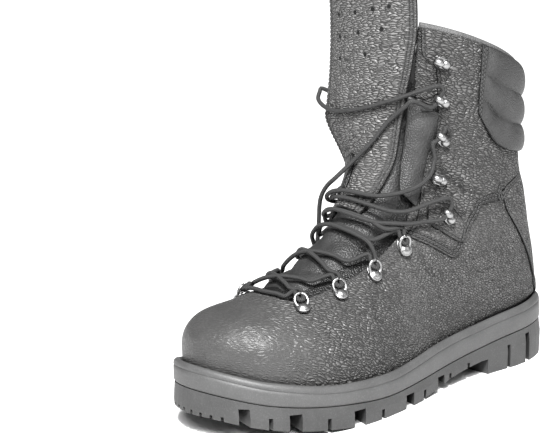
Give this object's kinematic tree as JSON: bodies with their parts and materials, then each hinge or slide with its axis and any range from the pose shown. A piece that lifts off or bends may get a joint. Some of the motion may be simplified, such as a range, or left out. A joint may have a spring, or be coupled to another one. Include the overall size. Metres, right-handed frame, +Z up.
{
  "type": "combat boot",
  "caption": "Left lace-up combat boot: grained leather upper with padded collar, tall tongue and lugged rubber sole, laced over metal rings and open hooks.",
  "frame": {"origin": "centre of the boot's bounding box in plan, on the floor under the sole", "axes": "+X from heel to toe, +Y towards the outer side of the foot, +Z up"},
  "size_m": [0.3132, 0.1225, 0.2788],
  "materials": {
    "grained_leather": "pebble grain, satin",
    "soft_leather": "smooth, soft, satin",
    "rim_rubber": "smooth, satin",
    "tread_rubber": "matt, slightly rough",
    "insole_cloth": "matt felt",
    "lace_cord": "matt round braid",
    "bright_steel": "bright nickel plate"
  },
  "bodies": {
    "root": {"outsole": "tread_rubber", "midsole": "rim_rubber", "insole": "insole_cloth", "upper": "grained_leather", "backstay": "grained_leather", "quarter_outer": "grained_leather", "quarter_inner": "grained_leather", "collar_pad": "soft_leather", "ankle_tab_outer": "grained_leather", "ankle_tab_inner": "grained_leather", "fold_outer": "soft_leather", "fold_inner": "soft_leather", "gusset": "soft_leather", "tongue": "grained_leather", "lace_keeper": "soft_leather", "ring_1_outer": "bright_steel", "ring_2_outer": "bright_steel", "ring_3_outer": "bright_steel", "ring_4_outer": "bright_steel", "hook_1_outer": "bright_steel", "hook_2_outer": "bright_steel", "hook_3_outer": "bright_steel", "hook_4_outer": "bright_steel", "hook_5_outer": "bright_steel", "ring_1_inner": "bright_steel", "ring_2_inner": "bright_steel", "ring_3_inner": "bright_steel", "ring_4_inner": "bright_steel", "hook_1_inner": "bright_steel", "hook_2_inner": "bright_steel", "hook_3_inner": "bright_steel", "hook_4_inner": "bright_steel", "hook_5_inner": "bright_steel", "lace_bar": "lace_cord", "lace_cross_1": "lace_cord", "lace_cross_2": "lace_cord", "lace_cross_3": "lace_cord", "lace_long_end": "lace_cord", "lace_short_end": "lace_cord"}
  },
  "joints": []
}
